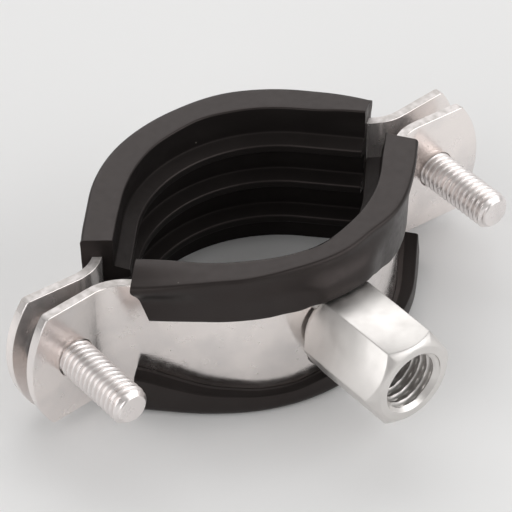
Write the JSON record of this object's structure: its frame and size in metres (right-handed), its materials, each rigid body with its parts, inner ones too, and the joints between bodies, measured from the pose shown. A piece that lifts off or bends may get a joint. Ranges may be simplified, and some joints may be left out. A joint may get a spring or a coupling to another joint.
{
  "type": "rubber lined pipe clamp",
  "caption": "Split steel pipe clamp with ribbed rubber linings, clamping screws at its ears and a hexagonal threaded boss on the front half.",
  "frame": {"origin": "on the pipe's axis, on the plane where the clamp parts, half way across the strip's width", "axes": "+Z along the pipe; +X along the ears, from the left screw to the right one; -Y points the way the threaded boss faces"},
  "size_m": [0.0838, 0.0578, 0.0253],
  "materials": {
    "zinc_band": "bright zinc plated strip, slightly milky",
    "zinc_boss": "bright zinc plated",
    "zinc_screw": "zinc plated, machine threads",
    "rubber": "satin EPDM",
    "washer_plastic": "plain"
  },
  "bodies": {
    "front_half": {"front_band": "zinc_band", "front_lining": "rubber", "boss_nut": "zinc_boss"},
    "rear_half": {"rear_band": "zinc_band", "rear_lining": "rubber"},
    "left_screw": {"screw_left": "zinc_screw", "captive_washer_left": "washer_plastic"},
    "right_screw": {"screw_right": "zinc_screw", "captive_washer_right": "washer_plastic"}
  },
  "joints": [
    {"name": "rear_slide", "type": "slide", "parent": "front_half", "child": "rear_half", "axis": [0, 1, 0], "range_m": [-0.00075, 0.012]},
    {"name": "left_screw_turn", "type": "hinge", "parent": "rear_half", "child": "left_screw", "pos_m": [-0.034, 0, 0], "axis": [0, 1, 0], "range_deg": [-270, 4320]},
    {"name": "right_screw_turn", "type": "hinge", "parent": "rear_half", "child": "right_screw", "pos_m": [0.034, 0, 0], "axis": [0, 1, 0], "range_deg": [-270, 4320]}
  ],
  "couplings": [
    {"joint": "left_screw_turn", "follows": "rear_slide", "rad_per_m": 6283.2},
    {"joint": "right_screw_turn", "follows": "rear_slide", "rad_per_m": 6283.2}
  ]
}
